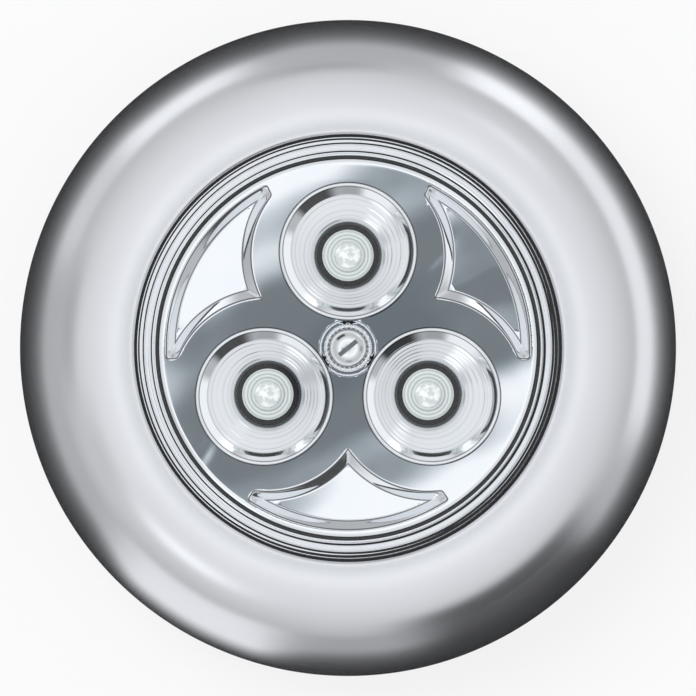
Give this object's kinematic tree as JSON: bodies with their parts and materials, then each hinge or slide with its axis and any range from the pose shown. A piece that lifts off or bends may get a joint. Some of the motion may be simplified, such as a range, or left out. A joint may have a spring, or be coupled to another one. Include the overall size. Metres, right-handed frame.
{
  "type": "puck light",
  "caption": "Round battery puck light: silver ring, clear push lens over a chrome reflector with stepped cups round the diodes, twist-off back plate with a sticky pad.",
  "frame": {"origin": "centre of the sticky pad's back face, which lies on the wall or the ceiling", "axes": "+Z out of the lens, away from the wall; +Y along the battery cells, towards the diode at the top of the front view"},
  "size_m": [0.067, 0.067, 0.025],
  "materials": {
    "foam": "white closed-cell foam tape",
    "base_plastic": "black moulded plastic, fine texture",
    "silver_ring": "satin silver metallic paint",
    "tray_plastic": "grey moulded plastic",
    "cell": "plain printed jacket, no name",
    "contact": "nickel plated strip",
    "spring_wire": "bright spring wire",
    "switch_plastic": "black moulded plastic",
    "stem_plastic": "white moulded plastic",
    "board": "black lacquered board",
    "diode": "clear cast resin",
    "resistor": "tan lacquer",
    "reflector_chrome": "mirror bright vacuum coating",
    "screw": "bright plated steel",
    "wire_red": "red insulation",
    "wire_black": "black insulation",
    "lens_clear": "clear polished plastic"
  },
  "bodies": {
    "base": {"adhesive_pad": "foam", "base_plate": "base_plastic"},
    "light_body": {"housing": "silver_ring", "battery_tray": "tray_plastic", "battery_1": "cell", "battery_2": "cell", "battery_3": "cell", "link_plate_front": "contact", "link_plate_rear": "contact", "plus_plate": "contact", "minus_plate": "contact", "contact_spring_1": "spring_wire", "contact_spring_2": "spring_wire", "contact_spring_3": "spring_wire", "switch_body": "switch_plastic", "led_board": "board", "led_1": "diode", "led_2": "diode", "led_3": "diode", "resistor": "resistor", "reflector": "reflector_chrome", "centre_screw": "screw", "tray_screw_1": "screw", "tray_screw_2": "screw", "tray_screw_3": "screw", "tray_screw_4": "screw", "return_spring_1": "spring_wire", "return_spring_2": "spring_wire", "return_spring_3": "spring_wire", "wire_red": "wire_red", "wire_switched": "wire_red", "wire_black": "wire_black"},
    "push_lens": {"lens": "lens_clear"},
    "stem": {"switch_stem": "stem_plastic"}
  },
  "joints": [
    {"name": "twist_lock", "type": "hinge", "parent": "base", "child": "light_body", "pos_m": [0, 0, 0], "axis": [0, 0, 1], "range_deg": [0, 25]},
    {"name": "lens_push", "type": "slide", "parent": "light_body", "child": "push_lens", "axis": [0, 0, -1], "range_m": [0, 0.0015], "stiffness_N_per_m": 1200, "deforming": ["return_spring_1", "return_spring_2", "return_spring_3"]},
    {"name": "stem_push", "type": "slide", "parent": "light_body", "child": "stem", "axis": [0, 0, -1], "range_m": [0, 0.0015]}
  ],
  "couplings": [
    {"joint": "stem_push", "follows": "lens_push", "ratio": 1}
  ]
}
